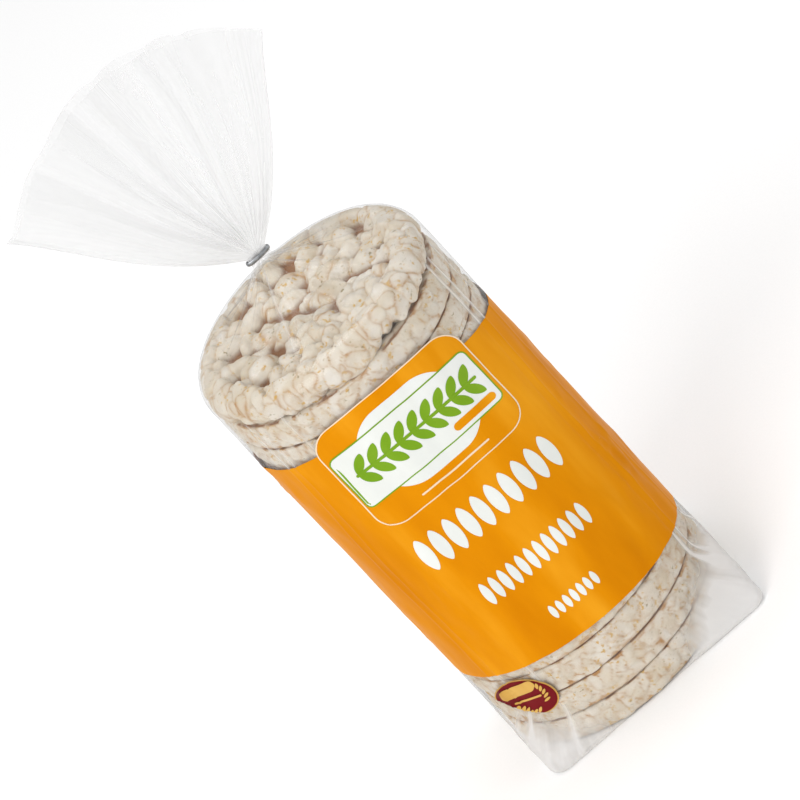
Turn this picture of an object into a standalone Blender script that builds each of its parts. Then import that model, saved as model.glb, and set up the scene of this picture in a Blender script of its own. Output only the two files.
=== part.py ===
"""A clear film bag of puffed rice cakes, gathered at the top and closed with a metal clip.

The bag stands on its square bottom with its printed front towards -Y. It is one solid, out to its film: a
square-bottomed body round a stack of round cakes, a tent that gathers to a neck, and above the clip the
spare film, spread into a pleated fan. The clip is a ring of its own around the neck.
Metres, +Z up, origin at the centre of the bottom.
"""

import math

import bmesh
import bpy
import numpy as np

# The stack of cakes inside sets the size of the bag.
CAKE_RADIUS = 0.0512
CAKE_PITCH = 0.01225
CAKE_COUNT = 16
STACK_TOP = CAKE_COUNT * CAKE_PITCH

# Body: the film lies on the cakes, and stands off them only towards its four folded corners.
FILM_FIT = 0.0008
ROUND_RADIUS = CAKE_RADIUS + FILM_FIT
HALF_WIDTH = 0.052
CORNER_DEPTH_LOW = 0.0515
CORNER_DEPTH_HIGH = 0.008
CORNER_RADIUS = 0.006
CORNER_RISE = 0.040
BASE_SKEW = 0.08
BASE_ROUNDING = 0.003

# Tent: from the top cake's rim up to the neck.
RIM_START = STACK_TOP - 0.0075
RIM_RISE = 0.0085
RIM_INSET = 0.10
RIM_TURN = math.radians(66)
NECK_FOOT = 0.2205
NECK_HALF_WIDTH = 0.0044
NECK_HALF_DEPTH = 0.0008
TENT_SAG = 0.38
GATHER_COUNT = 14
GATHER_DEPTH = 0.0010

# Clip: an oval ring of flattened wire, clear of the neck all round.
CLIP_CENTRE = 0.2225
CLIP_HEIGHT = 0.0018
CLIP_WALL = 0.0009
CLIP_GAP = 0.0003
NECK_HEAD = CLIP_CENTRE + 0.0016

# Fan: the spare film above the clip, a front and a back layer that meet at its two folded edges.
# Its cut edge is lower on the right.
FAN_RADIUS = 0.0955
FAN_RIGHT_DROP = 0.0090
FAN_HALF_ANGLE = math.radians(42)
FAN_FLARE = math.radians(23)
FAN_FLARE_POWER = 1.75
FAN_HALF_DEPTH = 0.011
PLEAT_COUNT = 22
PLEAT_SHARE = 0.26

# How finely the solids are cut.
POINTS_ROUND = 112
BASE_RINGS = 3
BODY_HEIGHTS = (0.010, 0.018, 0.027, 0.037, 0.050, 0.085, 0.120, 0.155)
RIM_RINGS = 4
TENT_RINGS = 7
FAN_RINGS = 10
CLIP_POINTS = 40
CLIP_SIDES = 10


def ease(t):
    """A smooth step from 0 to 1."""
    t = min(max(t, 0.0), 1.0)
    return t * t * (3 - 2 * t)


def section_radius(angles, corner_depth):
    """How far the film is from the axis in each direction.

    The section is the tightest line round the cakes' circle and four small corner circles. Its support in
    a direction is the larger of the two supports, and each radius is the nearest of all support lines.
    """
    facing = np.linspace(0, 2 * math.pi, 720, endpoint=False)
    corners = (
        (HALF_WIDTH - CORNER_RADIUS) * np.abs(np.cos(facing))
        + (corner_depth - CORNER_RADIUS) * np.abs(np.sin(facing))
        + CORNER_RADIUS
    )
    support = np.maximum(ROUND_RADIUS, corners)
    lean = np.cos(angles[:, None] - facing[None, :])
    reach = np.where(lean > 0.2, support[None, :] / np.maximum(lean, 0.2), np.inf)
    return reach.min(axis=1)


def corner_depth_at(height):
    """The corners stand square at the bottom, and close in on the cakes further up."""
    return CORNER_DEPTH_LOW + (CORNER_DEPTH_HIGH - CORNER_DEPTH_LOW) * ease(height / CORNER_RISE)


def side_ring(angles, inset, height):
    """One row of the body's side. Near the bottom it is a little askew, as the base is folded."""
    row = ring(angles, section_radius(angles, corner_depth_at(height)) - inset, height)
    row[:, 1] -= BASE_SKEW * row[:, 0] * (1 - ease(height / CORNER_RISE))
    return row


def neck_radius(angles):
    """The neck is an oval, wider than it is deep."""
    return 1 / np.hypot(np.cos(angles) / NECK_HALF_WIDTH, np.sin(angles) / NECK_HALF_DEPTH)


def ring(angles, radius, height):
    """One closed row of points around the axis."""
    return np.column_stack(
        (radius * np.cos(angles), radius * np.sin(angles), np.full(len(angles), height))
    )


def base_rings(angles):
    """The bottom's rounded edge, from the flat face out to the body."""
    for step in range(BASE_RINGS):
        turn = math.pi / 2 * step / BASE_RINGS
        inset = BASE_ROUNDING * (1 - math.sin(turn))
        height = BASE_ROUNDING * (1 - math.cos(turn))
        yield side_ring(angles, inset, height)


def body_rings(angles):
    """The body's side, up to where the film turns in over the top cake."""
    for height in (BASE_ROUNDING, *BODY_HEIGHTS, RIM_START):
        yield side_ring(angles, 0.0, height)


def tent_rings(angles):
    """The rounded rim, and the tent that sags between the rim and the neck."""
    body = section_radius(angles, CORNER_DEPTH_HIGH)
    neck = neck_radius(angles)
    for step in range(1, RIM_RINGS + 1):
        turn = RIM_TURN * step / RIM_RINGS
        share = 1 - RIM_INSET * (1 - math.cos(turn)) / (1 - math.cos(RIM_TURN))
        height = RIM_START + RIM_RISE * math.sin(turn) / math.sin(RIM_TURN)
        yield ring(angles, neck + (body - neck) * share, height)
    rim_share = 1 - RIM_INSET
    rim_top = RIM_START + RIM_RISE
    for step in range(1, TENT_RINGS + 1):
        climb = step / TENT_RINGS
        share = rim_share * (1 - climb)
        height = rim_top + (NECK_FOOT - rim_top) * ((1 - TENT_SAG) * climb + TENT_SAG * climb**2)
        gathers = GATHER_DEPTH * 4 * share * (1 - share) * np.cos(GATHER_COUNT * angles)
        yield ring(angles, neck + (body - neck) * share + gathers, height)


def fan_ring(angles, spread):
    """One row of the fan, at a share of its radius from the neck.

    The left edge is at 180 degrees, the front layer runs from there to 360, and the back layer returns.
    """
    across = 1 - 2 * np.abs(((angles - math.pi) % (2 * math.pi)) / math.pi - 1)
    layer = np.sign(np.sin(angles))
    half_angle = FAN_HALF_ANGLE + FAN_FLARE * (1 - spread) ** FAN_FLARE_POWER
    turn = half_angle * across
    reach = (FAN_RADIUS - FAN_RIGHT_DROP * np.maximum(across, 0)) * spread
    narrow = (1 - spread) ** 3
    bulge = np.sqrt(np.maximum(1 - across**2, 0))
    pleats = 1 + PLEAT_SHARE * ease(spread * 2) * np.cos(PLEAT_COUNT * angles)
    depth = FAN_HALF_DEPTH * spread**0.8 * bulge * pleats
    x = reach * np.sin(turn) + narrow * NECK_HALF_WIDTH * np.cos(angles)
    y = layer * depth + narrow * NECK_HALF_DEPTH * np.sin(angles)
    z = NECK_HEAD + reach * np.cos(turn)
    return np.column_stack((x, y, z))


def bag_rings():
    """All rows of the bag from the bottom's flat face to the fan's cut edge."""
    angles = np.linspace(0, 2 * math.pi, POINTS_ROUND, endpoint=False)
    rows = [*base_rings(angles), *body_rings(angles), *tent_rings(angles)]
    rows.append(ring(angles, neck_radius(angles), CLIP_CENTRE))
    rows.append(ring(angles, neck_radius(angles), NECK_HEAD))
    for step in range(1, FAN_RINGS + 1):
        rows.append(fan_ring(angles, (step / FAN_RINGS) ** 1.2))
    return rows


def build_bag(collection, material):
    """Lofts the bag through its rows, with a flat bottom and the fan's edge closed across its layers."""
    rows = bag_rings()
    mesh = bmesh.new()
    grid = [[mesh.verts.new(point) for point in row] for row in rows]
    count = POINTS_ROUND
    for lower, upper in zip(grid, grid[1:]):
        for i in range(count):
            j = (i + 1) % count
            mesh.faces.new((lower[i], lower[j], upper[j], upper[i]))
    middle = mesh.verts.new((0, 0, 0))
    for i in range(count):
        mesh.faces.new((middle, grid[0][(i + 1) % count], grid[0][i]))
    edge = grid[-1]
    half = count // 2
    for i in range(half):
        near, far = edge[i], edge[i + 1]
        mirror_near, mirror_far = edge[-i % count], edge[-(i + 1) % count]
        corners = [near, far, mirror_far, mirror_near]
        mesh.faces.new(list(dict.fromkeys(corners)))
    bmesh.ops.recalc_face_normals(mesh, faces=mesh.faces)
    data = bpy.data.meshes.new("bag")
    mesh.to_mesh(data)
    mesh.free()
    data.shade_smooth()
    data.set_sharp_from_angle(angle=math.radians(40))
    bag = bpy.data.objects.new("bag", data)
    collection.objects.link(bag)
    data.materials.append(material)
    return bag


def build_clip(collection, material):
    """The clip: a torus flattened to an oval ring of flat wire, applied at its real size."""
    outer_width = NECK_HALF_WIDTH + CLIP_GAP + CLIP_WALL
    outer_depth = NECK_HALF_DEPTH + CLIP_GAP + CLIP_WALL
    centre_line = outer_width - CLIP_WALL / 2
    bpy.ops.mesh.primitive_torus_add(
        major_segments=CLIP_POINTS,
        minor_segments=CLIP_SIDES,
        major_radius=centre_line,
        minor_radius=CLIP_WALL / 2,
    )
    clip = bpy.context.object
    clip.name = "clip"
    for vertex in clip.data.vertices:
        across = math.hypot(vertex.co.x, vertex.co.y)
        off_line = across - centre_line
        facing_x = vertex.co.x / across
        facing_y = vertex.co.y / across
        line_depth = outer_depth - CLIP_WALL / 2
        vertex.co.x = facing_x * (centre_line + off_line)
        vertex.co.y = facing_y * (line_depth + off_line)
        vertex.co.z *= CLIP_HEIGHT / CLIP_WALL
    clip.location.z = CLIP_CENTRE
    clip.data.shade_smooth()
    clip.data.materials.append(material)
    for holder in clip.users_collection:
        holder.objects.unlink(clip)
    collection.objects.link(clip)
    return clip


def make_material(name, colour, roughness, metallic=0.0):
    """A Principled material with one plain colour."""
    material = bpy.data.materials.new(name)
    material.use_nodes = True
    shader = material.node_tree.nodes["Principled BSDF"]
    shader.inputs["Base Color"].default_value = (*colour, 1.0)
    shader.inputs["Roughness"].default_value = roughness
    shader.inputs["Metallic"].default_value = metallic
    return material


def main():
    for old in list(bpy.data.objects):
        bpy.data.objects.remove(old, do_unlink=True)
    collection = bpy.data.collections.new("rice_cake_bag")
    bpy.context.scene.collection.children.link(collection)
    film = make_material("film", (0.80, 0.70, 0.52), 0.25)
    metal = make_material("clip_metal", (0.32, 0.33, 0.34), 0.35, metallic=1.0)
    build_bag(collection, film)
    build_clip(collection, metal)


main()
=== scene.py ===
"""A clear film bag of puffed rice cakes, stood on its base, seen from slightly above."""

import math

import bpy
import numpy as np
from mathutils import Matrix, Vector


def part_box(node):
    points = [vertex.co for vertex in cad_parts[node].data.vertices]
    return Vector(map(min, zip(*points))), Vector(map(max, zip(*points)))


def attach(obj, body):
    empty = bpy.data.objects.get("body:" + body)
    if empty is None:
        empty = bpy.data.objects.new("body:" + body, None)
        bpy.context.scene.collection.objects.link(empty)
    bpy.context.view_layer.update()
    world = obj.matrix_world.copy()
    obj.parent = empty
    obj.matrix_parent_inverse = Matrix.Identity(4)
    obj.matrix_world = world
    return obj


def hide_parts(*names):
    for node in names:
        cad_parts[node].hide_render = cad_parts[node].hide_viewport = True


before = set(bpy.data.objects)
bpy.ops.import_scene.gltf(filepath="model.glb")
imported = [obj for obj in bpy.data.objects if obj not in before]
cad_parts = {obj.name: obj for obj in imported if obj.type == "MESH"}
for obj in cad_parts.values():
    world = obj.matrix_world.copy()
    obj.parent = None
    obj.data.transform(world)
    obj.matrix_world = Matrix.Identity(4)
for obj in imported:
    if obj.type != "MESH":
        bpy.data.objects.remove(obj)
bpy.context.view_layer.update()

# ---------------------------------------------------------------- sizes, in metres and radians

CLIP_LOW, CLIP_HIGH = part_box("clip")
CLIP_CENTRE = (CLIP_LOW[2] + CLIP_HIGH[2]) / 2

CAKE_RADIUS = 0.0512
CAKE_PITCH = 0.01225
CAKE_COUNT = 16
STACK_TOP = CAKE_COUNT * CAKE_PITCH

ROUND_RADIUS = CAKE_RADIUS + 0.0008
HALF_WIDTH = 0.052
CORNER_DEPTH_LOW = 0.0515
CORNER_DEPTH_HIGH = 0.008
CORNER_RADIUS = 0.006
CORNER_RISE = 0.040
BASE_SKEW = 0.08
BASE_ROUNDING = 0.003

RIM_START = STACK_TOP - 0.0075
RIM_RISE = 0.0085
RIM_INSET = 0.10
RIM_TURN = math.radians(66)
NECK_FOOT = 0.2205
NECK_HALF_WIDTH = 0.0042
NECK_HALF_DEPTH = 0.0007
TENT_SAG = 0.38
NECK_HEAD = CLIP_CENTRE + 0.0016

FAN_RADIUS = 0.0951
FAN_RIGHT_DROP = 0.0090
FAN_HALF_ANGLE = math.radians(42)
FAN_FLARE = math.radians(23)
FAN_FLARE_POWER = 1.75
FAN_HALF_DEPTH = 0.005

# The print: a band round the bag, a little askew, and what is printed on its front.
PRINT_FACING = math.radians(-90 + 0.2)
BAND_TILT = (0.076, 0.105)
BAND_BOW = (0.08, 0.22)
ART_TILT = 0.050
ART_BOW = 0.43
BAND_LOW = 0.0416
BAND_HIGH = 0.1664


# ---------------------------------------------------------------- helpers


def ease(t):
    """A smooth step from 0 to 1."""
    t = np.clip(t, 0.0, 1.0)
    return t * t * (3 - 2 * t)


def hash_grid(ix, iy, iz, seed):
    """A repeatable random number from 0 to 1 for each lattice cell."""
    n = (ix * 374761393 + iy * 668265263 + iz * 1440662683 + seed * 1013904223) & 0xFFFFFFFF
    n = ((n ^ (n >> 13)) * 1274126177) & 0xFFFFFFFF
    n = ((n ^ (n >> 15)) * 668265263) & 0xFFFFFFFF
    return ((n ^ (n >> 16)) & 0xFFFF) / 65535.0


def noise(points, scale, seed):
    """Smooth value noise from -1 to 1 at each point, with features of about the scale in metres."""
    p = np.asarray(points) / scale
    cell = np.floor(p).astype(np.int64)
    f = p - cell
    f = f * f * f * (f * (f * 6 - 15) + 10)
    total = 0.0
    for dx in (0, 1):
        wx = f[..., 0] if dx else 1 - f[..., 0]
        for dy in (0, 1):
            wy = f[..., 1] if dy else 1 - f[..., 1]
            for dz in (0, 1):
                wz = f[..., 2] if dz else 1 - f[..., 2]
                corner = hash_grid(cell[..., 0] + dx, cell[..., 1] + dy, cell[..., 2] + dz, seed)
                total = total + wx * wy * wz * corner
    return total * 2 - 1


def make_object(name, verts, faces, materials, attributes=()):
    """A mesh piece from arrays, riding on the bag's body."""
    data = bpy.data.meshes.new(name)
    data.from_pydata([tuple(v) for v in np.asarray(verts).tolist()], [], faces)
    data.update()
    for key, values in attributes:
        layer = data.attributes.new(key, "FLOAT", "POINT")
        layer.data.foreach_set("value", np.asarray(values, dtype=np.float32))
    for material in materials:
        data.materials.append(material)
    data.shade_smooth()
    piece = bpy.data.objects.new(name, data)
    bpy.context.scene.collection.objects.link(piece)
    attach(piece, "root")
    return piece


def grid_faces(rows, columns, closed):
    """Quads between neighbouring rows of points, wrapping round when the rows are loops."""
    i = np.arange(rows - 1)[:, None] * columns
    j = np.arange(columns if closed else columns - 1)[None, :]
    k = (j + 1) % columns
    quads = np.stack((i + j, i + k, i + columns + k, i + columns + j), axis=-1)
    return quads.reshape(-1, 4).tolist()


# ---------------------------------------------------------------- the film's shape

FACING = np.linspace(0, 2 * math.pi, 720, endpoint=False)
TABLE_ANGLES = np.linspace(0, 2 * math.pi, 1441)
TABLE_DEPTHS = np.linspace(CORNER_DEPTH_HIGH, CORNER_DEPTH_LOW, 40)


def section_row(corner_depth):
    """One section of the film: the tightest line round the cakes' circle and four corner circles."""
    corners = (
        (HALF_WIDTH - CORNER_RADIUS) * np.abs(np.cos(FACING))
        + (corner_depth - CORNER_RADIUS) * np.abs(np.sin(FACING))
        + CORNER_RADIUS
    )
    support = np.maximum(ROUND_RADIUS, corners)
    lean = np.cos(TABLE_ANGLES[:, None] - FACING[None, :])
    reach = np.where(lean > 0.2, support[None, :] / np.maximum(lean, 0.2), np.inf)
    return reach.min(axis=1)


SECTIONS = np.array([section_row(depth) for depth in TABLE_DEPTHS])


def section_radius(angles, heights):
    """The film's distance from the axis by direction and height, without its wrinkles."""
    depth = CORNER_DEPTH_LOW + (CORNER_DEPTH_HIGH - CORNER_DEPTH_LOW) * ease(heights / CORNER_RISE)
    row = (depth - TABLE_DEPTHS[0]) / (TABLE_DEPTHS[-1] - TABLE_DEPTHS[0]) * (len(TABLE_DEPTHS) - 1)
    column = (angles % (2 * math.pi)) / (2 * math.pi) * (len(TABLE_ANGLES) - 1)
    r0 = np.clip(np.floor(row).astype(int), 0, len(TABLE_DEPTHS) - 2)
    c0 = np.clip(np.floor(column).astype(int), 0, len(TABLE_ANGLES) - 2)
    fr = row - r0
    fc = column - c0
    low = SECTIONS[r0, c0] * (1 - fc) + SECTIONS[r0, c0 + 1] * fc
    high = SECTIONS[r0 + 1, c0] * (1 - fc) + SECTIONS[r0 + 1, c0 + 1] * fc
    return low * (1 - fr) + high * fr


def crease(angles, heights, at, lean, width, height):
    """A fine raised line that runs up the film at a direction, wandering a little."""
    wander = 0.02 * np.sin(heights * 60 + at * 3) + lean * (heights - 0.1)
    away = (angles - at - wander + math.pi) % (2 * math.pi) - math.pi
    return height * np.exp(-((away * ROUND_RADIUS / width) ** 2))


CREASES = (
    # direction from +X, lean per metre, width, height
    (math.radians(-31.4), 0.25, 0.0006, 0.00045),
    (math.radians(-35.5), 0.15, 0.0009, -0.00025),
    (math.radians(-18.5), -0.1, 0.0008, 0.00030),
    (math.radians(-145.4), -0.25, 0.0006, 0.00040),
    (math.radians(-150.4), -0.15, 0.0007, 0.00034),
    (math.radians(-129.0), -0.1, 0.0009, 0.00020),
    (math.radians(31.0), -0.2, 0.0007, 0.00038),
    (math.radians(147.0), 0.2, 0.0007, 0.00038),
    (math.radians(90.0), 0.0, 0.0016, 0.00040),
)


def wrinkles(angles, heights):
    """How far the film's wrinkles lift it off its smooth shape."""
    lift = np.zeros_like(angles)
    turned = angles + heights * 9.0
    streak = np.stack(
        (ROUND_RADIUS * np.cos(turned), ROUND_RADIUS * np.sin(turned), heights * 0.22), axis=-1
    )
    lift += 0.00022 * noise(streak, 0.0075, 11)
    turned = angles - heights * 5.0
    streak = np.stack(
        (ROUND_RADIUS * np.cos(turned), ROUND_RADIUS * np.sin(turned), heights * 0.3), axis=-1
    )
    lift += 0.00016 * noise(streak, 0.0048, 12)
    spot = np.stack((ROUND_RADIUS * np.cos(angles), ROUND_RADIUS * np.sin(angles), heights), axis=-1)
    crumpled = ease(noise(spot, 0.030, 13) * 0.9 + 0.1)
    bent = spot + np.stack([noise(spot, 0.011, 15 + k) for k in range(3)], axis=-1) * 0.004
    folds = 1 - np.abs(noise(bent * (1, 1, 0.6), 0.010, 14)) * 2.6
    lift += 0.00030 * crumpled * ease(folds)
    aside = (angles - math.radians(-27) + math.pi) % (2 * math.pi) - math.pi
    patch = np.exp(-((aside / 0.20) ** 2) - ((heights - 0.076) / 0.022) ** 2)
    sharp = 1 - np.abs(noise(bent * (1, 1, 0.5), 0.007, 19)) * 2.4
    lift += 0.00075 * patch * ease(sharp)
    for at, lean, width, height in CREASES:
        lift += crease(angles, heights, at, lean, width, height)
    return lift


def wrinkle_fade(heights):
    """Wrinkles fade out over the folded base, and partly where the film turns in over the top cake."""
    return ease(heights / 0.012) * (1 - ease((heights - RIM_START + 0.012) / 0.02) * 0.7)


def film_points(angles, heights, offset=0.0):
    """Points of the bag's side at a direction and height, lifted off the film by an offset."""
    angles, heights = np.broadcast_arrays(angles, heights)
    radius = section_radius(angles, heights)
    radius = radius + wrinkles(angles, heights) * wrinkle_fade(heights) + offset
    x = radius * np.cos(angles)
    y = radius * np.sin(angles) - BASE_SKEW * x * (1 - ease(heights / CORNER_RISE))
    return np.stack((x, y, heights), axis=-1)


def neck_radius(angles, half_width, half_depth):
    """The neck is an oval, wider than it is deep, gathered into small pleats."""
    smooth = 1 / np.hypot(np.cos(angles) / half_width, np.sin(angles) / half_depth)
    return smooth * (1 + 0.10 * np.cos(17 * angles + 0.7) + 0.07 * np.cos(29 * angles + 2.1))


FILM_COLUMNS = 480


def gathers(angles, share):
    """The folds of the tent: many and fine at the neck, few and broad towards the rim."""
    wave = np.zeros_like(angles)
    for count, phase, size, low, high in (
        (7, 0.4, 0.9, 0.0, 1.0),
        (11, 1.9, 0.8, 0.0, 0.9),
        (17, 3.1, 0.75, 0.0, 0.7),
        (26, 0.9, 0.6, 0.0, 0.5),
        (41, 2.2, 0.35, 0.0, 0.35),
    ):
        fade = ease((high - share) / 0.3)
        fold = 1 - 2 * np.abs(np.sin((count * angles + phase) / 2 + 0.5 * np.sin(angles * 3 + phase)))
        wave += size * fold * fade
    return wave * 0.00042 * ease(share / 0.12) * (1 - ease((share - 0.75) / 0.25))


def tent_rows(angles):
    """Rows of the rounded rim, the sagging tent and the neck through the clip."""
    body = film_points(angles, np.full_like(angles, RIM_START))
    body_radius = np.hypot(body[:, 0], body[:, 1])
    neck = neck_radius(angles, NECK_HALF_WIDTH, NECK_HALF_DEPTH)
    rows = []

    def add(share, height):
        radius = neck + (body_radius - neck) * share
        z = height + gathers(angles, np.full_like(angles, share)) * 1.4
        radius = radius + gathers(angles, np.full_like(angles, share))
        rows.append(np.stack((radius * np.cos(angles), radius * np.sin(angles), z), axis=-1))

    for step in range(1, 9):
        turn = RIM_TURN * step / 8
        share = 1 - RIM_INSET * (1 - math.cos(turn)) / (1 - math.cos(RIM_TURN))
        add(share, RIM_START + RIM_RISE * math.sin(turn) / math.sin(RIM_TURN))
    rim_top = RIM_START + RIM_RISE
    for step in range(1, 31):
        climb = step / 30
        share = (1 - RIM_INSET) * (1 - climb)
        add(share, rim_top + (NECK_FOOT - rim_top) * ((1 - TENT_SAG) * climb + TENT_SAG * climb**2))
    for height in (NECK_FOOT + 0.0012, NECK_FOOT + 0.0024, CLIP_CENTRE, NECK_HEAD):
        z = np.full_like(angles, height)
        rows.append(np.stack((neck * np.cos(angles), neck * np.sin(angles), z), axis=-1))
    return rows


def build_film_body(material):
    """The bag's film from its folded bottom to the neck."""
    angles = np.linspace(0, 2 * math.pi, FILM_COLUMNS, endpoint=False)
    rows = []
    flat = film_points(angles, np.zeros_like(angles))
    for share in (0.15, 0.4, 0.65, 0.85):
        rows.append(flat * (share, share, 1) + (0, 0, 0.0002))
    for step in range(6):
        turn = math.pi / 2 * step / 6
        height = BASE_ROUNDING * (1 - math.cos(turn)) + 0.0002
        row = film_points(angles, np.full_like(angles, height))
        radius = np.hypot(row[:, 0], row[:, 1])
        shrink = (radius - BASE_ROUNDING * (1 - math.sin(turn))) / radius
        rows.append(row * np.stack((shrink, shrink, np.ones_like(shrink)), axis=-1))
    for height in np.linspace(BASE_ROUNDING + 0.0002, RIM_START, 92):
        rows.append(film_points(angles, np.full_like(angles, height)))
    rows.extend(tent_rows(angles))
    verts = np.concatenate(rows)
    faces = grid_faces(len(rows), FILM_COLUMNS, True)
    faces.append(list(range(FILM_COLUMNS))[::-1])
    haze_and_highlight = np.zeros(len(verts))
    low = verts[:, 2]
    spare = np.hypot(verts[:, 0], verts[:, 1]) - ROUND_RADIUS
    # Haze at the base corners, where spare film stands off the cakes, and along the bottom 4 mm: partly the
    # folded film's own haze, partly painted light that lifts the shade inside the bag.
    haze_and_highlight += 10.0 * ease(spare / 0.009) + 1.5 * ease((0.004 - low) / 0.004)
    around = np.arctan2(verts[:, 1], verts[:, 0])
    # Painted highlights: haze along each crease draws a thin light line.
    for at, lean, width, _ in CREASES:
        haze_and_highlight += 9.0 * crease(around, low, at, lean, width, 1.0) * (low < RIM_START)
    share = np.clip(np.hypot(verts[:, 0], verts[:, 1]) / ROUND_RADIUS, 0, 1)
    folds = gathers(around, share) / 0.0005
    # Painted highlights: haze on the ridges of the tent's gathers draws radial light streaks.
    haze_and_highlight += 2.5 * ease(folds - 0.6) * (low > RIM_START)
    haze_and_highlight += 0.8 * ease((low - (NECK_FOOT - 0.010)) / 0.012) + 14 * ease((low - NECK_FOOT) / 0.001)
    return make_object("film_body", verts, faces, [material], [("haze_and_highlight", haze_and_highlight)])


# ---------------------------------------------------------------- the fan of spare film


def pleat_line(rng, narrow, wide, amount):
    """Knots of one layer's pleats: where each fold is, from -1 to 1, and how far it stands out."""
    at = [-1.0]
    while at[-1] < 1:
        at.append(at[-1] + rng.uniform(narrow, wide))
    at = np.array(at)
    at = (at - at[0]) / (at[-1] - at[0]) * 2 - 1
    side = np.where(np.arange(len(at)) % 2 == 0, 1.0, -1.0)
    out = side * rng.uniform(0.35, 1.0, len(at)) * amount
    out[0] = 0
    out[-1] = 0
    return at, out


def fan_streaks(across, layer, spread, seed):
    """The fan's painted shade and painted highlights, carried in its film tint and haze: radial light and dark
    streaks that fork and fade along it.
    """
    swing = 0.03 * np.sin(spread * 4 + across * 3 + layer)
    total = np.zeros_like(across)
    for scale, share, drift in ((0.34, 0.9, 0.4), (0.15, 1.0, 0.5), (0.07, 0.55, 0.6), (0.022, 0.22, 0.7)):
        points = np.stack(
            (across + swing, np.full_like(across, spread * 0.05 * drift), layer * 2.0), axis=-1
        )
        total += share * noise(points, scale, seed + int(scale * 1000))
    return total


def build_fan(material):
    """The fan: front and back layers of film, each in its own irregular radial pleats."""
    rng = np.random.default_rng(5)
    columns = 720
    angles = np.linspace(0, 2 * math.pi, columns, endpoint=False)
    across = 1 - 2 * np.abs(((angles - math.pi) % (2 * math.pi)) / math.pi - 1)
    front = np.sin(angles) <= 0
    layer = np.where(front, -1.0, 1.0)
    sets = []
    for _ in range(2):
        sets.append(
            (
                pleat_line(rng, 0.10, 0.26, 0.0022),
                pleat_line(rng, 0.06, 0.14, 0.0011),
                pleat_line(rng, 0.03, 0.07, 0.0008),
            )
        )
    neck = neck_radius(angles, NECK_HALF_WIDTH, NECK_HALF_DEPTH)
    spreads = np.concatenate((np.linspace(0, 1, 60) ** 1.25 * 0.992, (0.9955, 1.0)))
    rows = []
    haze_and_highlight_rows = []
    density_and_shade_rows = []
    for spread in spreads:
        half_angle = FAN_HALF_ANGLE + FAN_FLARE * (1 - spread) ** FAN_FLARE_POWER
        swing = 0.035 * np.sin(spread * 5 + across * 4)
        folds = np.zeros(columns)
        for chosen, (broad, middle, fine) in ((front, sets[0]), (~front, sets[1])):
            a = across + swing * (1 - across**2)
            mixed = (
                np.interp(a, *broad) * ease(spread * 1.6) * (0.35 + 0.65 * spread)
                + np.interp(a + 0.03 * np.sin(spread * 7), *middle) * ease(spread * 3) * (1 - 0.55 * spread)
                + np.interp(a, *fine) * ease(spread * 6) * (1 - ease(spread * 1.3))
            )
            folds = np.where(chosen, mixed, folds)
        bulge = np.sqrt(np.maximum(1 - across**2, 0))
        settle = ease((1 - np.abs(across)) / 0.06)
        depth = FAN_HALF_DEPTH * spread**0.9 * bulge * 0.75
        lean_out = 0.004 * spread**2 * np.sin(across * 2.3 + 0.6)
        ragged = 1 + 0.003 * spread**6 * noise(
            np.stack((across, layer * 0.0, np.zeros(columns)), axis=-1), 0.11, 22
        )
        turn = half_angle * across
        reach = (FAN_RADIUS - FAN_RIGHT_DROP * np.maximum(across, 0)) * spread * ragged * (1 - 0.015 * bulge)
        reach = reach - np.abs(folds) * 0.08 * spread
        narrow = (1 - spread) ** 6
        x = reach * np.sin(turn) + narrow * neck * np.cos(angles)
        y = layer * depth + folds * settle + lean_out * settle + narrow * neck * np.sin(angles)
        z = NECK_HEAD + reach * np.cos(turn)
        rows.append(np.stack((x, y, z), axis=-1))
        # Painted shade and painted highlights: noise streaks grey the film and whiten its haze in radial
        # streaks. Near the neck the gathered film is thicker and hazier. A painted grey line runs along the
        # fan's outer edge and its folded sides.
        streaks = fan_streaks(across, layer, spread, 300)
        side = ease((np.abs(across) - 0.985) / 0.015)
        edge = ease((spread - 0.9925) / 0.003) * 0.7
        near = (1 - spread) ** 2.5
        density_and_shade_rows.append(np.clip(0.40 + 0.55 * streaks + 0.25 * near + 1.3 * edge + 0.5 * side, 0, 1.4))
        haze_and_highlight_rows.append(np.clip(0.5 - 0.55 * streaks, 0, 2) + 1.3 * near)
    verts = np.concatenate(rows)
    faces = grid_faces(len(rows), columns, True)
    attributes = [("haze_and_highlight", np.concatenate(haze_and_highlight_rows)), ("density", np.concatenate(density_and_shade_rows))]
    return make_object("film_fan", verts, faces, [material], attributes)


# ---------------------------------------------------------------- the print


def to_film(flat, offset):
    """Puts flat artwork on the film, as seen square on. It is metres right of and above the middle line.

    The artwork's level lines bow down towards the bag's sides, so that they read straight from above.
    """
    radius = np.full(len(flat), ROUND_RADIUS)
    for _ in range(6):
        across = np.arcsin(np.clip(flat[:, 0] / radius, -0.98, 0.98))
        angles = PRINT_FACING + across
        bow = ART_BOW * (ROUND_RADIUS - radius * np.cos(across))
        heights = flat[:, 1] - bow - ART_TILT * flat[:, 0]
        radius = section_radius(angles, heights)
    return film_points(angles, heights, offset)


def build_band(material):
    """The printed band: a coloured field right round the bag."""
    angles = np.linspace(0, 2 * math.pi, FILM_COLUMNS, endpoint=False)
    rows = []
    for share in np.linspace(0, 1, 61):
        heights = BAND_LOW + (BAND_HIGH - BAND_LOW) * share
        sideways = np.sin(angles - PRINT_FACING)
        tilt = np.interp(share, (0, 1), BAND_TILT) * sideways
        bow = np.interp(share, (0, 1), BAND_BOW) * sideways**2
        rows.append(film_points(angles, heights - ROUND_RADIUS * (tilt + bow), 0.00012))
    faces = grid_faces(61, FILM_COLUMNS, True)
    return make_object("print_band", np.concatenate(rows), faces, [material])


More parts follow.
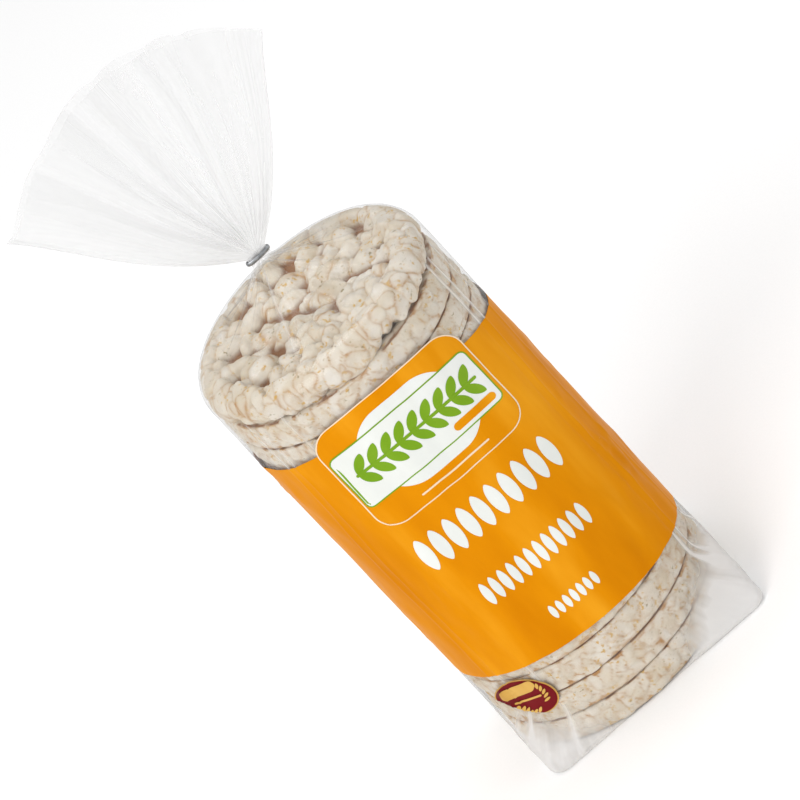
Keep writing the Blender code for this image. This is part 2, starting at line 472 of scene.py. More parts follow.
def rounded_box(half_width, half_height, radius, count=160):
    """Points round a rectangle with rounded corners, anticlockwise, evenly along its outline."""
    radius = min(radius, half_width, half_height)
    corners = (
        (half_width - radius, half_height - radius, 0),
        (radius - half_width, half_height - radius, 90),
        (radius - half_width, radius - half_height, 180),
        (half_width - radius, radius - half_height, 270),
    )
    dense = []
    for x, y, start in corners:
        for step in range(17):
            turn = math.radians(start + 90 * step / 16)
            dense.append((x + radius * math.cos(turn), y + radius * math.sin(turn)))
    dense.append(dense[0])
    dense = np.array(dense)
    length = np.concatenate(([0], np.cumsum(np.linalg.norm(np.diff(dense, axis=0), axis=1))))
    want = np.linspace(0, length[-1], count, endpoint=False)
    return np.stack((np.interp(want, length, dense[:, 0]), np.interp(want, length, dense[:, 1])), axis=-1)


def oval(half_width, half_height, count=96):
    turn = np.linspace(0, 2 * math.pi, count, endpoint=False)
    return np.stack((half_width * np.cos(turn), half_height * np.sin(turn)), axis=-1)


def grain(half_length, half_width, count=36):
    """A pointed oval, upright, like a grain of rice."""
    turn = np.linspace(0, 2 * math.pi, count, endpoint=False)
    thin = np.abs(np.cos(turn)) ** 1.35 * np.sign(np.cos(turn))
    return np.stack((half_width * thin, half_length * np.sin(turn)), axis=-1)


def turned(points, angle):
    c, s = math.cos(angle), math.sin(angle)
    return points @ np.array(((c, s), (-s, c)))


def field(outline, centre, offset, spacing=0.0014):
    """A filled shape on the film: rings of points from its outline to its middle."""
    reach = np.linalg.norm(outline, axis=1).max()
    rings = max(2, int(math.ceil(reach / spacing)))
    flat = [np.zeros((1, 2))]
    for k in range(1, rings + 1):
        flat.append(outline * (k / rings))
    flat = np.concatenate(flat) + np.asarray(centre)
    count = len(outline)
    faces = [[0, 1 + i, 1 + (i + 1) % count] for i in range(count)]
    for face in grid_faces(rings, count, True):
        faces.append([index + 1 for index in (face[0], face[3], face[2], face[1])])
    return to_film(flat, offset), faces


def strip(outer, inner, centre, offset):
    """A line of even width on the film, between two outlines."""
    flat = np.concatenate((outer, inner)) + np.asarray(centre)
    return to_film(flat, offset), grid_faces(2, len(outer), True)


def join(parts):
    """One mesh's points and faces from several."""
    verts = []
    faces = []
    start = 0
    for part_verts, part_faces in parts:
        verts.append(part_verts)
        faces.extend([index + start for index in face] for face in part_faces)
        start += len(part_verts)
    return np.concatenate(verts), faces


def print_piece(name, parts, material):
    verts, faces = join(parts)
    return make_object(name, verts, faces, [material])


BADGE = (0.0338, 0.0254, 0.0092)
BADGE_CENTRE = (-0.0008, 0.1503)
BADGE_LINE = 0.0005
CLOUD = (0.0228, 0.0183, 0.0150)
CLOUD_CENTRE = (-0.0004, 0.1512)
PLAQUE = (0.0324, 0.0133, 0.0028)
PLAQUE_CENTRE = (-0.0012, 0.1512)
PLAQUE_LINE = 0.0006
# Rows of grains: how many, how far apart, height on the bag, half length and half width.
GRAIN_ROWS = (
    (10, 0.0066, 0.1085, 0.0080, 0.0026),
    (12, 0.0042, 0.0800, 0.0056, 0.0016),
    (7, 0.0033, 0.0567, 0.0034, 0.0012),
)
SEAL = (0.0120, 0.0082)
SEAL_TURN = math.radians(-52.7)
SEAL_CENTRE = (-0.0394, 0.0338)


def inset(box, by):
    """A rounded box drawn in from its outline by an even distance."""
    return rounded_box(*(size - by for size in box))


def build_print(mats):
    """The band and what stands on it. Where a pack has words, there are rows of plain grains."""
    build_band(mats["orange"])
    shapes = (
        ("print_badge", "orange", "print_orange", [field(rounded_box(*BADGE), BADGE_CENTRE, 0.00018)]),
        (
            "print_badge_line",
            "cream",
            "print_white",
            [strip(rounded_box(*BADGE), inset(BADGE, BADGE_LINE), BADGE_CENTRE, 0.00024)],
        ),
        ("print_cloud", "white", "print_white", [field(rounded_box(*CLOUD), CLOUD_CENTRE, 0.00024)]),
        ("print_plaque_edge", "green", "print_green", [field(rounded_box(*PLAQUE), PLAQUE_CENTRE, 0.00030)]),
        ("print_plaque", "white", "print_white", [field(inset(PLAQUE, PLAQUE_LINE), PLAQUE_CENTRE, 0.00036)]),
    )
    for name, ink, slot, parts in shapes:
        print_piece(name, parts, mats[ink])
    sprig = []
    for k in range(9):
        x = -0.0262 + 0.0062 * k
        for side in (1, -1):
            leaf = turned(grain(0.0046, 0.0020), -side * math.radians(38))
            sprig.append(field(leaf, (x + 0.0012, 0.1523 + side * 0.0036), 0.00042, 0.002))
    sprig.append(field(rounded_box(0.0285, 0.0007, 0.0007), (-0.0005, 0.1523), 0.00046, 0.0015))
    print_piece("print_sprig", sprig, mats["green"])
    bar = field(rounded_box(0.0098, 0.0017, 0.0017), (0.0190, 0.1418), 0.00042, 0.002)
    print_piece("print_bar_small", [bar], mats["orange"])
    line = field(rounded_box(0.0160, 0.0004, 0.0004), (0.0, 0.1295), 0.00026, 0.002)
    print_piece("print_line_small", [line], mats["cream"])
    rows = []
    for count, step, height, half_length, half_width in GRAIN_ROWS:
        for k in range(count):
            x = (k - (count - 1) / 2) * step - 0.0004
            rows.append(field(grain(half_length, half_width), (x, height), 0.00020, 0.002))
    print_piece("print_grains", rows, mats["white"])
    for name, ink, slot, size, offset in (
        ("print_seal_edge", "gold", "print_gold", 1.0, 0.00036),
        ("print_seal", "maroon", "print_maroon", 0.955, 0.00056),
    ):
        outline = turned(oval(SEAL[0] * size, SEAL[1] * size), SEAL_TURN)
        print_piece(name, [field(outline, SEAL_CENTRE, offset, 0.0010)], mats[ink])
    marks = []
    x, y = SEAL_CENTRE
    marks.append(field(turned(rounded_box(0.0062, 0.0026, 0.0018), math.radians(-12)), (x - 0.0008, y + 0.0052), 0.00090, 0.001))
    marks.append(field(turned(rounded_box(0.0050, 0.0005, 0.0005), math.radians(-16)), (x + 0.0002, y - 0.0008), 0.00090, 0.001))
    for k in range(6):
        for side in (1, -1):
            at = math.radians(-62 + side * (22 + 15 * k))
            reach = 0.0092 - 0.0016 * abs(math.sin(at - SEAL_TURN))
            leaf = turned(grain(0.0014, 0.0006, 16), at - side * math.radians(38))
            marks.append(field(leaf, (x + reach * math.cos(at) * 0.82, y + reach * math.sin(at) * 0.92), 0.00090, 0.0008))
    print_piece("print_seal_marks", marks, mats["gold"])


# ---------------------------------------------------------------- the cakes

GRAIN_REACH = 0.0013
CLEFT_DEPTH = 0.0024


def cake_base(grid, side_rows, rounding, reach):
    """A rounded disc: points, normals and quads, from a square grid mapped evenly onto each round face."""
    half = CAKE_PITCH / 2 - reach
    radius = CAKE_RADIUS - GRAIN_REACH
    flat_radius = radius - rounding
    line = np.linspace(-1, 1, grid + 1)
    gx, gy = np.meshgrid(line, line, indexing="xy")
    big = np.maximum(np.abs(gx), np.abs(gy))
    use_x = np.abs(gx) >= np.abs(gy)
    with np.errstate(divide="ignore", invalid="ignore"):
        phi_x = math.pi / 4 * np.where(gx != 0, gy / gx, 0)
        phi_y = math.pi / 2 - math.pi / 4 * np.where(gy != 0, gx / gy, 0)
    r = np.where(use_x, gx, gy)
    phi = np.where(use_x, phi_x, phi_y)
    disc = np.stack((r * np.cos(phi), r * np.sin(phi)), axis=-1).reshape(-1, 2)
    top = np.column_stack((disc * flat_radius, np.full(len(disc), half)))
    bottom = np.column_stack((disc * flat_radius, np.full(len(disc), -half)))
    n = grid + 1
    index = np.arange(n * n).reshape(n, n)
    border = np.concatenate((index[0, :-1], index[:-1, -1], index[-1, :0:-1], index[:0:-1, 0]))
    ring = disc[border] / np.linalg.norm(disc[border], axis=1)[:, None]
    arc = rounding * math.pi / 2
    straight = 2 * (half - rounding)
    total = 2 * arc + straight
    verts = [top]
    normals = [np.tile((0.0, 0.0, 1.0), (len(top), 1))]
    for step in range(1, side_rows):
        s = total * step / side_rows
        if s < arc:
            turn = s / rounding
            nr, nz = math.sin(turn), math.cos(turn)
            out, z = rounding * nr, half - rounding * (1 - nz)
        elif s < arc + straight:
            nr, nz = 1.0, 0.0
            out, z = rounding, half - rounding - (s - arc)
        else:
            turn = (s - arc - straight) / rounding
            nr, nz = math.cos(turn), -math.sin(turn)
            out, z = rounding * nr, -half + rounding * (1 + nz)
        verts.append(np.column_stack((ring * (flat_radius + out), np.full(len(ring), z))))
        normals.append(np.column_stack((ring * nr, np.full(len(ring), nz))))
    verts.append(bottom)
    normals.append(np.tile((0.0, 0.0, -1.0), (len(bottom), 1)))
    verts = np.concatenate(verts)
    normals = np.concatenate(normals)
    quads = np.stack((index[:-1, :-1], index[:-1, 1:], index[1:, 1:], index[1:, :-1]), axis=-1).reshape(-1, 4)
    faces = quads.tolist()
    m = len(border)
    first = len(top)
    rows = [border] + [first + k * m + np.arange(m) for k in range(side_rows - 1)]
    last = first + (side_rows - 1) * m
    rows.append(last + border)
    for upper, lower in zip(rows, rows[1:]):
        for i in range(m):
            j = (i + 1) % m
            faces.append([int(upper[i]), int(lower[i]), int(lower[j]), int(upper[j])])
    faces.extend([[a + last for a in quad[::-1]] for quad in quads.tolist()])
    return verts, normals, faces


def scatter_grains(rng, spacing, size, lobe_share, plump):
    """Puffed grains over a cake's faces and side: centres, normals, sizes and turns of their ellipsoids."""
    half = CAKE_PITCH / 2 - GRAIN_REACH
    radius = CAKE_RADIUS - GRAIN_REACH
    centres = []
    normals = []
    for face in (1, -1):
        rows = int(2 * radius / (spacing * 0.87)) + 2
        for row in range(rows):
            y = -radius + row * spacing * 0.87
            for column in range(rows):
                x = -radius + (column + 0.5 * (row % 2)) * spacing
                px = x + rng.normal(0, spacing * 0.22)
                py = y + rng.normal(0, spacing * 0.22)
                if math.hypot(px, py) < radius - 0.0022:
                    centres.append((px, py, face * half))
                    normals.append((0, 0, face))
    around = int(2 * math.pi * radius / (spacing * 0.92))
    for level in (-1, 0, 1):
        for k in range(around):
            turn = 2 * math.pi * (k + 0.5 * (level % 2)) / around + rng.normal(0, 0.018)
            lift = level * (half - 0.0010) * 0.92 + rng.normal(0, 0.0006)
            tip = 0.85 * lift / half
            nr, nz = math.cos(tip * 0.9), math.sin(tip * 0.9)
            out = radius - (0.0014 if level else 0.0)
            centres.append((out * math.cos(turn), out * math.sin(turn), lift))
            normals.append((nr * math.cos(turn), nr * math.sin(turn), nz))
    centres = np.array(centres)
    normals = np.array(normals)
    count = len(centres)
    helper = np.where(np.abs(normals[:, 2:3]) > 0.9, (1.0, 0.0, 0.0), (0.0, 0.0, 1.0))
    u = np.cross(helper, normals)
    u /= np.linalg.norm(u, axis=1)[:, None]
    v = np.cross(normals, u)
    spin = rng.uniform(0, math.pi, count)[:, None]
    long_axis = u * np.cos(spin) + v * np.sin(spin)
    short_axis = np.cross(normals, long_axis)
    tilt = rng.normal(0, 0.16, count)[:, None]
    up = normals * np.cos(tilt) + long_axis * np.sin(tilt)
    long_axis = long_axis * np.cos(tilt) - normals * np.sin(tilt)
    a = rng.uniform(0.62, 0.98, count) * size
    b = rng.uniform(0.48, 0.72, count) * size
    c = rng.uniform(0.34, 0.50, count) * size * plump
    sink = rng.uniform(-0.75, 0.15, count) * 0.0016
    centres = centres + normals * (sink + GRAIN_REACH - c * 0.92)[:, None]
    tint = rng.uniform(0, 1, count)
    lobes = []
    lobe_tints = []
    for share, scale in ((0.0, 1.0), (0.62, 0.72), (-0.55, 0.66)):
        keep = rng.uniform(0, 1, count) < (1.0 if share == 0 else lobe_share)
        shift = long_axis * (share * a)[:, None] + short_axis * (rng.normal(0, 0.22, count) * b)[:, None]
        axes = np.stack(
            (
                long_axis / (a * scale)[:, None],
                short_axis / (b * scale * rng.uniform(0.85, 1.2, count))[:, None],
                up / (c * scale)[:, None],
            ),
            axis=1,
        )
        lobes.append((centres + shift)[keep])
        lobe_tints.append((axes[keep], tint[keep]))
    return (
        np.concatenate(lobes),
        np.concatenate([pair[0] for pair in lobe_tints]),
        np.concatenate([pair[1] for pair in lobe_tints]),
    )


def grain_relief(points, normals, lobes, axes, tints, floor):
    """How far the outermost grain stands over each point, how deep the cleft is, and the grain's tint."""
    count = len(points)
    height = np.full(count, -floor)
    second = np.full(count, -floor)
    tint = np.zeros(count)
    cell = 0.008
    keys = {}
    for i, centre in enumerate(np.floor(lobes / cell).astype(int)):
        keys.setdefault(tuple(centre), []).append(i)
    point_cells = np.floor(points / cell).astype(int)
    order = np.lexsort(point_cells.T)
    sorted_cells = point_cells[order]
    breaks = np.flatnonzero(np.any(np.diff(sorted_cells, axis=0) != 0, axis=1)) + 1
    for group in np.split(order, breaks):
        here = point_cells[group[0]]
        near = []
        for dx in (-1, 0, 1):
            for dy in (-1, 0, 1):
                for dz in (-1, 0, 1):
                    near.extend(keys.get((here[0] + dx, here[1] + dy, here[2] + dz), ()))
        if not near:
            continue
        near = np.array(near)
        p = points[group]
        n = normals[group]
        rel = p[:, None, :] - lobes[near][None, :, :]
        q = np.einsum("kij,pkj->pki", axes[near], rel)
        m = np.einsum("kij,pj->pki", axes[near], n)
        mm = (m * m).sum(-1)
        qm = (q * m).sum(-1)
        qq = (q * q).sum(-1)
        root = qm * qm - mm * (qq - 1)
        t = np.where(root > 0, (-qm + np.sqrt(np.maximum(root, 0))) / mm, -1.0)
        best = t.argmax(axis=1)
        rows = np.arange(len(group))
        top = t[rows, best]
        t[rows, best] = -1.0
        same = np.abs(tints[near][None, :] - tints[near][best][:, None]) < 1e-9
        t = np.where(same, -1.0, t)
        height[group] = np.maximum(top, -floor)
        second[group] = np.maximum(t.max(axis=1), -floor)
        tint[group] = tints[near][best]
    return height, height - second, tint


def film_reach(heights):
    """How far from the axis the film's rounded rim is at each height, up to the foot of the tent."""
    turn = np.arcsin(np.clip((heights - RIM_START) / RIM_RISE * math.sin(RIM_TURN), 0, math.sin(RIM_TURN)))
    share = 1 - RIM_INSET * (1 - np.cos(turn)) / (1 - math.cos(RIM_TURN))
    return ROUND_RADIUS * share


def film_top(radius):
    """How high the rounded rim and the tent are at each distance from the axis."""
    share = np.clip(radius / ROUND_RADIUS, 0, 1)
    turn = np.arccos(np.clip(1 - (1 - share) / RIM_INSET * (1 - math.cos(RIM_TURN)), -1, 1))
    rim = RIM_START + RIM_RISE * np.sin(np.minimum(turn, RIM_TURN)) / math.sin(RIM_TURN)
    climb = np.clip(1 - share / (1 - RIM_INSET), 0, 1)
    return rim + (NECK_FOOT - RIM_START - RIM_RISE) * ((1 - TENT_SAG) * climb + TENT_SAG * climb**2)


def build_cake(level, detail, material, grain_size, rounding, relief, lobe_share, plump, reach, side_floor):
    """One puffed cake, its grains cast out of a rounded disc."""
    seed = 100 + level
    verts, normals, faces = cake_base(*detail, rounding, reach)
    rng = np.random.default_rng(seed)
    lobes, axes, tints = scatter_grains(rng, grain_size * 1.16, grain_size, lobe_share, plump)
    warp = np.stack([noise(verts, 0.0046, seed * 10 + k) for k in range(3)], axis=-1) * 0.0010
    warp += np.stack([noise(verts, 0.0019, seed * 10 + 5 + k) for k in range(3)], axis=-1) * 0.0003
    height, cleft, tint = grain_relief(verts + warp, normals, lobes, axes, tints, CLEFT_DEPTH)
    # How deep each point lies in a cleft between grains: the mask for painted shade deep in the clefts.
    depth = np.clip(-height / CLEFT_DEPTH, 0, 1) * (0.25 + 0.75 * np.abs(normals[:, 2]))
    height = np.where(height > 0.0009, 0.0009 + (height - 0.0009) * 0.6, height)
    flat = np.abs(normals[:, 2])
    side_height = np.maximum(height, side_floor) * 0.6 + 0.0004
    height = height * flat * relief + side_height * (1 - flat)
    lump = noise(verts, 0.017, seed + 70) * 0.0005 * relief
    rough = noise(verts, 0.0011, seed + 71) * 0.00010 + noise(verts, 0.0024, seed + 72) * 0.00018
    moved = verts + normals * (height + lump + rough)[:, None]
    far = np.hypot(moved[:, 0], moved[:, 1])
    allowed = film_reach(moved[:, 2] + (level + 0.5) * CAKE_PITCH) - 0.0007
    moved[:, :2] *= (np.minimum(far, allowed) / np.maximum(far, 1e-9))[:, None]
    if 0 < level < CAKE_COUNT - 1:
        moved[:, 2] -= rng.uniform(0.0, 0.008) * moved[:, 0] + rng.uniform(-0.006, 0.006) * moved[:, 1]
    moved[:, 2] = np.maximum(moved[:, 2] + (level + 0.5) * CAKE_PITCH, 0.0005)
    moved[:, 2] = np.minimum(moved[:, 2], film_top(np.hypot(moved[:, 0], moved[:, 1])) - 0.0007)
    # Mask for the painted shade along the narrow clefts between grains.
    line = np.exp(-cleft / 0.00045)
    attributes = [("tint", tint), ("cleft", line), ("deep", depth)]
    return make_object("cake_%02d" % (level + 1), moved, faces, [material], attributes)


def build_cakes(material):
    """The stack: close detail where the film is clear, coarser under the printed band."""
    for level in range(CAKE_COUNT):
        if level == CAKE_COUNT - 1:
            build_cake(level, (168, 24), material, 0.0086, 0.0034, 1.35, 0.18, 1.30, GRAIN_REACH, -0.0016)
        elif level < 4 or level > CAKE_COUNT - 5:
            gap = 0.0003 if level in (0, CAKE_COUNT - 3) else -0.0001
            build_cake(level, (96, 18), material, 0.0056, 0.0003, 0.15, 0.3, 1.1, gap, -0.0001)
        else:
            build_cake(level, (48, 8), material, 0.0056, 0.0005, 0.15, 0.3, 1.1, 0.0001, -0.0002)


# ---------------------------------------------------------------- materials


class Nodes:
    """Short calls for building one material's nodes."""

    def __init__(self, name):
        self.material = bpy.data.materials.new(name)
        self.material.use_nodes = True
        self.tree = self.material.node_tree
        self.tree.nodes.clear()
        self.out = self.tree.nodes.new("ShaderNodeOutputMaterial")

    def add(self, kind, inputs=None, **settings):
        node = self.tree.nodes.new(kind)
        for key, value in settings.items():
            setattr(node, key, value)
        for key, value in (inputs or {}).items():
            if isinstance(value, bpy.types.NodeSocket):
                self.tree.links.new(value, node.inputs[key])
            else:
                node.inputs[key].default_value = value
        return node

    def noise(self, scale, detail=3.0, vector=None, roughness=0.5):
        inputs = {"Scale": scale, "Detail": detail, "Roughness": roughness}
        inputs["Vector"] = vector if vector is not None else self.coords()
        return self.add("ShaderNodeTexNoise", inputs).outputs["Fac"]

    def coords(self):
        return self.add("ShaderNodeTexCoord").outputs["Object"]

    def stretched(self, scale, turn=(0.0, 0.0, 0.0)):
        node = self.add("ShaderNodeMapping", {"Vector": self.coords(), "Scale": scale, "Rotation": turn})
        return node.outputs["Vector"]

    def around(self, reach, climb):
        """Coordinates that change with the direction from the bag's axis, and slowly with height."""
        flat = self.add("ShaderNodeVectorMath", {0: self.coords(), 1: (1.0, 1.0, 0.0)}, operation="MULTIPLY")
        facing = self.add("ShaderNodeVectorMath", {0: flat.outputs[0]}, operation="NORMALIZE")
        wide = self.add("ShaderNodeVectorMath", {0: facing.outputs[0], "Scale": reach}, operation="SCALE")
        rise = self.add("ShaderNodeVectorMath", {0: self.coords(), 1: (0.0, 0.0, climb)}, operation="MULTIPLY")
        both = self.add("ShaderNodeVectorMath", {0: wide.outputs[0], 1: rise.outputs[0]}, operation="ADD")
        return both.outputs[0]

    def ramp(self, value, low, high, to_low=0.0, to_high=1.0):
        node = self.add(
            "ShaderNodeMapRange",
            {"Value": value, "From Min": low, "From Max": high, "To Min": to_low, "To Max": to_high},
        )
        return node.outputs["Result"]

    def math(self, operation, a, b=0.0):
        return self.add("ShaderNodeMath", {0: a, 1: b}, operation=operation).outputs[0]

    def mix(self, factor, a, b):
        node = self.add("ShaderNodeMix", data_type="RGBA")
        for key, value in ((0, factor), (6, a), (7, b)):
            if isinstance(value, bpy.types.NodeSocket):
                self.tree.links.new(value, node.inputs[key])
            else:
                node.inputs[key].default_value = value
        return node.outputs[2]

    def attribute(self, name):
        return self.add("ShaderNodeAttribute", attribute_name=name).outputs["Fac"]

    def bump(self, height, strength, distance, normal=None):
        inputs = {"Height": height, "Strength": strength, "Distance": distance}
        if normal is not None:
            inputs["Normal"] = normal
        return self.add("ShaderNodeBump", inputs).outputs["Normal"]

    def finish(self, shader):
        self.tree.links.new(shader, self.out.inputs["Surface"])
        return self.material


def srgb(red, green, blue):
    """Linear colour from 8-bit sRGB values."""
    values = []
    for channel in (red, green, blue):
        c = channel / 255
        values.append(c / 12.92 if c <= 0.04045 else ((c + 0.055) / 1.055) ** 2.4)
    return (*values, 1.0)


def cake_material():
    n = Nodes("puffed_rice")
    tint = n.attribute("tint")
    cleft = n.attribute("cleft")
    deep = n.attribute("deep")
    base = n.mix(tint, srgb(217, 210, 199), srgb(205, 194, 177))
    patch = n.ramp(n.noise(160, 3), 0.45, 0.62)
    base = n.mix(n.math("MULTIPLY", patch, 0.45), base, srgb(226, 221, 212))
    warm = n.ramp(n.noise(90, 2), 0.40, 0.66)
    base = n.mix(n.math("MULTIPLY", warm, 0.40), base, srgb(202, 186, 156))
    # Painted shade: the clefts between grains get a soft brown tint, and darker brown lines in places.
    base = n.mix(n.math("MULTIPLY", n.math("POWER", cleft, 0.6), 0.35), base, srgb(188, 164, 128))
    line = n.math("MULTIPLY", n.math("POWER", cleft, 2.0), n.ramp(n.noise(200, 2), 0.35, 0.65, 0.15, 1.0))
    base = n.mix(line, base, srgb(168, 120, 62))
    fleck_place = n.math("MULTIPLY", n.ramp(n.noise(420, 4, roughness=0.62), 0.565, 0.64), n.ramp(n.noise(130, 2), 0.46, 0.60))
    base = n.mix(n.math("MULTIPLY", fleck_place, 0.95), base, srgb(196, 156, 76))
    olive = n.math("MULTIPLY", n.ramp(n.noise(700, 3, vector=n.stretched((1, 1, 1.6))), 0.62, 0.68), n.ramp(n.noise(110, 1), 0.50, 0.64))
    base = n.mix(n.math("MULTIPLY", olive, 0.75), base, srgb(128, 112, 60))
    # Painted shade: dark brown deep in the clefts.
    base = n.mix(n.ramp(deep, 0.35, 0.9, 0.0, 0.9), base, srgb(134, 88, 48))
    fine = n.noise(1500, 3)
    coarse = n.noise(420, 4)
    bump = n.bump(coarse, 0.5, 0.0006)
    bump = n.bump(fine, 0.35, 0.00025, bump)
    shader = n.add(
        "ShaderNodeBsdfPrincipled",
        {
            "Base Color": base,
            "Roughness": n.ramp(coarse, 0.3, 0.7, 0.55, 0.78),
            "Specular IOR Level": 0.35,
            "Subsurface Weight": 0.12,
            "Subsurface Radius": (1.0, 0.7, 0.45),
            "Subsurface Scale": 0.0015,
            "Normal": bump,
        },
    )
    return n.finish(shader.outputs[0])


# dense is the grey that the film's clear colour reaches where the fan's density attribute is full: painted
# shade, and film gathered thick near the neck.
def film_material(name, haze_and_highlight_low, haze_and_highlight_high, bump_strength, roughness, shine, dense=(0.62, 0.62, 0.63, 1)):
    n = Nodes(name)
    haze_and_highlight_at = n.attribute("haze_and_highlight")
    # Painted shade: the density attribute greys the film's clear colour.
    tint = n.mix(n.attribute("density"), (0.99, 0.99, 0.99, 1), dense)
    # Painted highlights: noise streaks raise the haze in light streaks along the film.
    streaks = n.noise(60, 4, vector=n.around(0.052, 0.16))
    specks = n.noise(900, 2)
    haze_and_highlight = n.math("MULTIPLY", n.ramp(streaks, 0.35, 0.70, haze_and_highlight_low, haze_and_highlight_high), n.math("ADD", 1.0, n.math("MULTIPLY", haze_and_highlight_at, 1.6)))
    crinkle = n.noise(150, 5, vector=n.around(0.052, 0.30))
    bump = n.bump(crinkle, bump_strength, 0.0010)
    bump = n.bump(specks, 0.04, 0.0002, bump)
    clear = n.add("ShaderNodeBsdfTransparent", {"Color": tint})
    white = n.add("ShaderNodeBsdfDiffuse", {"Color": (0.92, 0.92, 0.92, 1), "Normal": bump})
    through = n.add("ShaderNodeBsdfTranslucent", {"Color": (0.92, 0.92, 0.92, 1), "Normal": bump})
    soft = n.add("ShaderNodeMixShader", {0: 0.5, 1: white.outputs[0], 2: through.outputs[0]})
    body = n.add("ShaderNodeMixShader", {0: haze_and_highlight, 1: clear.outputs[0], 2: soft.outputs[0]})
    gloss = n.add("ShaderNodeBsdfGlossy", {"Color": shine, "Roughness": roughness, "Normal": bump})
    edge_on = n.add("ShaderNodeLayerWeight", {"Blend": 0.5, "Normal": bump}).outputs["Facing"]
    shiny = n.ramp(n.math("POWER", edge_on, 5.0), 0.0, 1.0, 0.035, 0.55)
    shader = n.add("ShaderNodeMixShader", {0: shiny, 1: body.outputs[0], 2: gloss.outputs[0]})
    return n.finish(shader.outputs[0])


def print_material(name, colour, highlight_colour, shade_colour):
    """Ink on film: one colour, with painted highlights and painted shade in soft streaks for the film's
    wrinkles, and gloss over it.
    """
    n = Nodes(name)
    streaks = n.noise(34, 4, vector=n.stretched((1.0, 1.0, 0.20), (0.0, 0.45, 0.0)))
    # Painted shade and painted highlights: the streak noise darkens and lightens the ink.
    base = n.mix(n.ramp(streaks, 0.36, 0.50), shade_colour, colour)
    base = n.mix(n.ramp(streaks, 0.52, 0.66), base, highlight_colour)
    crinkle = n.noise(120, 5, vector=n.stretched((1.0, 1.0, 0.35), (0.0, 0.25, 0.0)))
    bump = n.bump(crinkle, 0.22, 0.0010)
    shader = n.add(
        "ShaderNodeBsdfPrincipled",
        {
            "Base Color": base,
            "Roughness": n.ramp(streaks, 0.3, 0.7, 0.30, 0.42),
            "Specular IOR Level": 0.015,
            "Normal": bump,
        },
    )
    return n.finish(shader.outputs[0])


def metal_material():
    n = Nodes("clip_wire")
    scratches = n.noise(2600, 3, vector=n.stretched((1.0, 1.0, 0.15)))
    dull = n.noise(700, 2)
    base = n.mix(n.ramp(dull, 0.35, 0.65), srgb(128, 130, 133), srgb(164, 166, 169))
    shader = n.add(
        "ShaderNodeBsdfPrincipled",
        {
            "Base Color": base,
            "Metallic": 1.0,
            "Roughness": n.ramp(scratches, 0.3, 0.7, 0.28, 0.48),
            "Normal": n.bump(scratches, 0.2, 0.0002),
        },
    )
    return n.finish(shader.outputs[0])


def floor_material():
    n = Nodes("floor_paper")
    grainy = n.noise(900, 2)
    base = n.mix(n.ramp(grainy, 0.3, 0.7), (0.96, 0.96, 0.96, 1), (0.98, 0.98, 0.98, 1))
    shader = n.add("ShaderNodeBsdfPrincipled", {"Base Color": base, "Roughness": 0.9, "Specular IOR Level": 0.1})
    return n.finish(shader.outputs[0])


# ---------------------------------------------------------------- camera, light and floor

CAMERA_AZIMUTH = math.radians(0.5)
CAMERA_ELEVATION = math.radians(27)
CAMERA_ROLL = math.radians(43.2)
CAMERA_DISTANCE = 3.0
FRAME_WIDTH = 0.2977
SENSOR = 36.0


def build_camera():
    right = Vector((math.cos(CAMERA_AZIMUTH), math.sin(CAMERA_AZIMUTH), 0))
    away = Vector(
        (
            math.sin(CAMERA_AZIMUTH) * math.cos(CAMERA_ELEVATION),
            -math.cos(CAMERA_AZIMUTH) * math.cos(CAMERA_ELEVATION),
            math.sin(CAMERA_ELEVATION),
        )
    )
    target = Vector((0, 0, 0.1389)) + right * 0.0017
    data = bpy.data.cameras.new("camera")
    data.sensor_width = SENSOR
    data.lens = SENSOR * CAMERA_DISTANCE / FRAME_WIDTH
    data.clip_start = 0.05
    data.clip_end = 60
    camera = bpy.data.objects.new("camera", data)
    look = (-away).to_track_quat("-Z", "Y").to_matrix().to_4x4()
    place = Matrix.Translation(target + away * CAMERA_DISTANCE)
    camera.matrix_world = place @ look @ Matrix.Rotation(-CAMERA_ROLL, 4, "Z")
    bpy.context.scene.collection.objects.link(camera)
    bpy.context.scene.camera = camera


def add_lamp(name, place, aim, size, power):
    data = bpy.data.lights.new(name, "AREA")
    data.shape = "RECTANGLE"
    data.size, data.size_y = size
    data.energy = power
    data.color = (1, 1, 1)
    lamp = bpy.data.objects.new(name, data)
    lamp.location = place
    lamp.rotation_euler = (Vector(aim) - Vector(place)).to_track_quat("-Z", "Y").to_euler()
    bpy.context.scene.collection.objects.link(lamp)


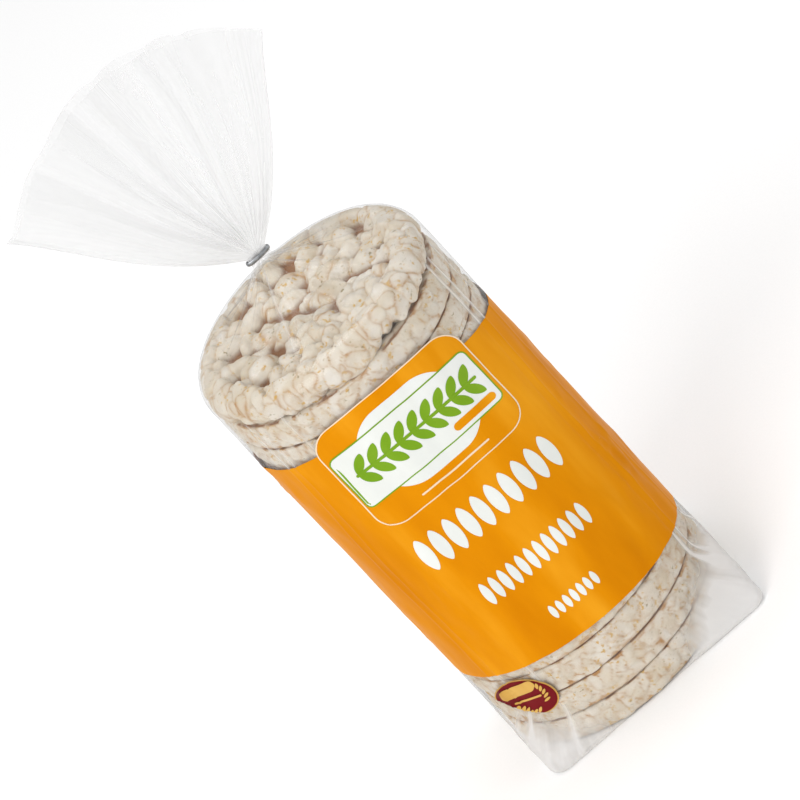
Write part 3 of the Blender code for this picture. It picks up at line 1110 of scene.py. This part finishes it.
def build_stage():
    verts = [(-4, -4, 0), (4, -4, 0), (4, 4, 0), (-4, 4, 0)]
    data = bpy.data.meshes.new("floor")
    data.from_pydata(verts, [], [(0, 1, 2, 3)])
    data.materials.append(floor_material())
    floor = bpy.data.objects.new("floor", data)
    bpy.context.scene.collection.objects.link(floor)
    add_lamp("key", (-1.3, -1.5, 1.3), (0, 0, 0.12), (1.5, 1.5), 27)
    add_lamp("fill", (1.5, -1.2, 0.9), (0, 0, 0.12), (1.2, 1.2), 5.5)
    add_lamp("top", (0.0, 0.3, 1.8), (0, 0, 0.12), (1.2, 0.8), 11)
    world = bpy.data.worlds.new("studio")
    world.use_nodes = True
    world.node_tree.nodes["Background"].inputs["Color"].default_value = (1, 1, 1, 1)
    world.node_tree.nodes["Background"].inputs["Strength"].default_value = 0.60
    bpy.context.scene.world = world


def main():
    scene = bpy.context.scene
    scene.view_settings.view_transform = "Standard"
    scene.cycles.transparent_max_bounces = 32
    build_camera()
    build_stage()
    body = build_film_body(film_material("film_clear", 0.01, 0.10, 0.20, 0.18, (0.62, 0.62, 0.62, 1)))
    fan = build_fan(film_material("film_fan", 0.10, 0.20, 0.06, 0.22, (0.55, 0.55, 0.55, 1)))
    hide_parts("bag")
    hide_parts("bag")
    # Each ink: its colour, then a painted-highlight colour and a painted-shade colour.
    mats = {
        "orange": print_material("ink_orange", srgb(216, 136, 6), srgb(230, 156, 30), srgb(205, 124, 3)),
        "white": print_material("ink_white", srgb(222, 224, 219), srgb(230, 232, 229), srgb(212, 215, 212)),
        "cream": print_material("ink_cream", srgb(232, 211, 180), srgb(236, 218, 192), srgb(224, 200, 166)),
        "green": print_material("ink_green", srgb(116, 156, 36), srgb(126, 164, 46), srgb(106, 146, 30)),
        "maroon": print_material("ink_maroon", srgb(110, 25, 30), srgb(124, 34, 38), srgb(96, 20, 26)),
        "gold": print_material("ink_gold", srgb(205, 160, 80), srgb(220, 180, 100), srgb(185, 140, 64)),
    }
    build_print(mats)
    build_cakes(cake_material())
    clip = bpy.data.objects["clip"]
    clip.material_slots[0].material = metal_material()


main()
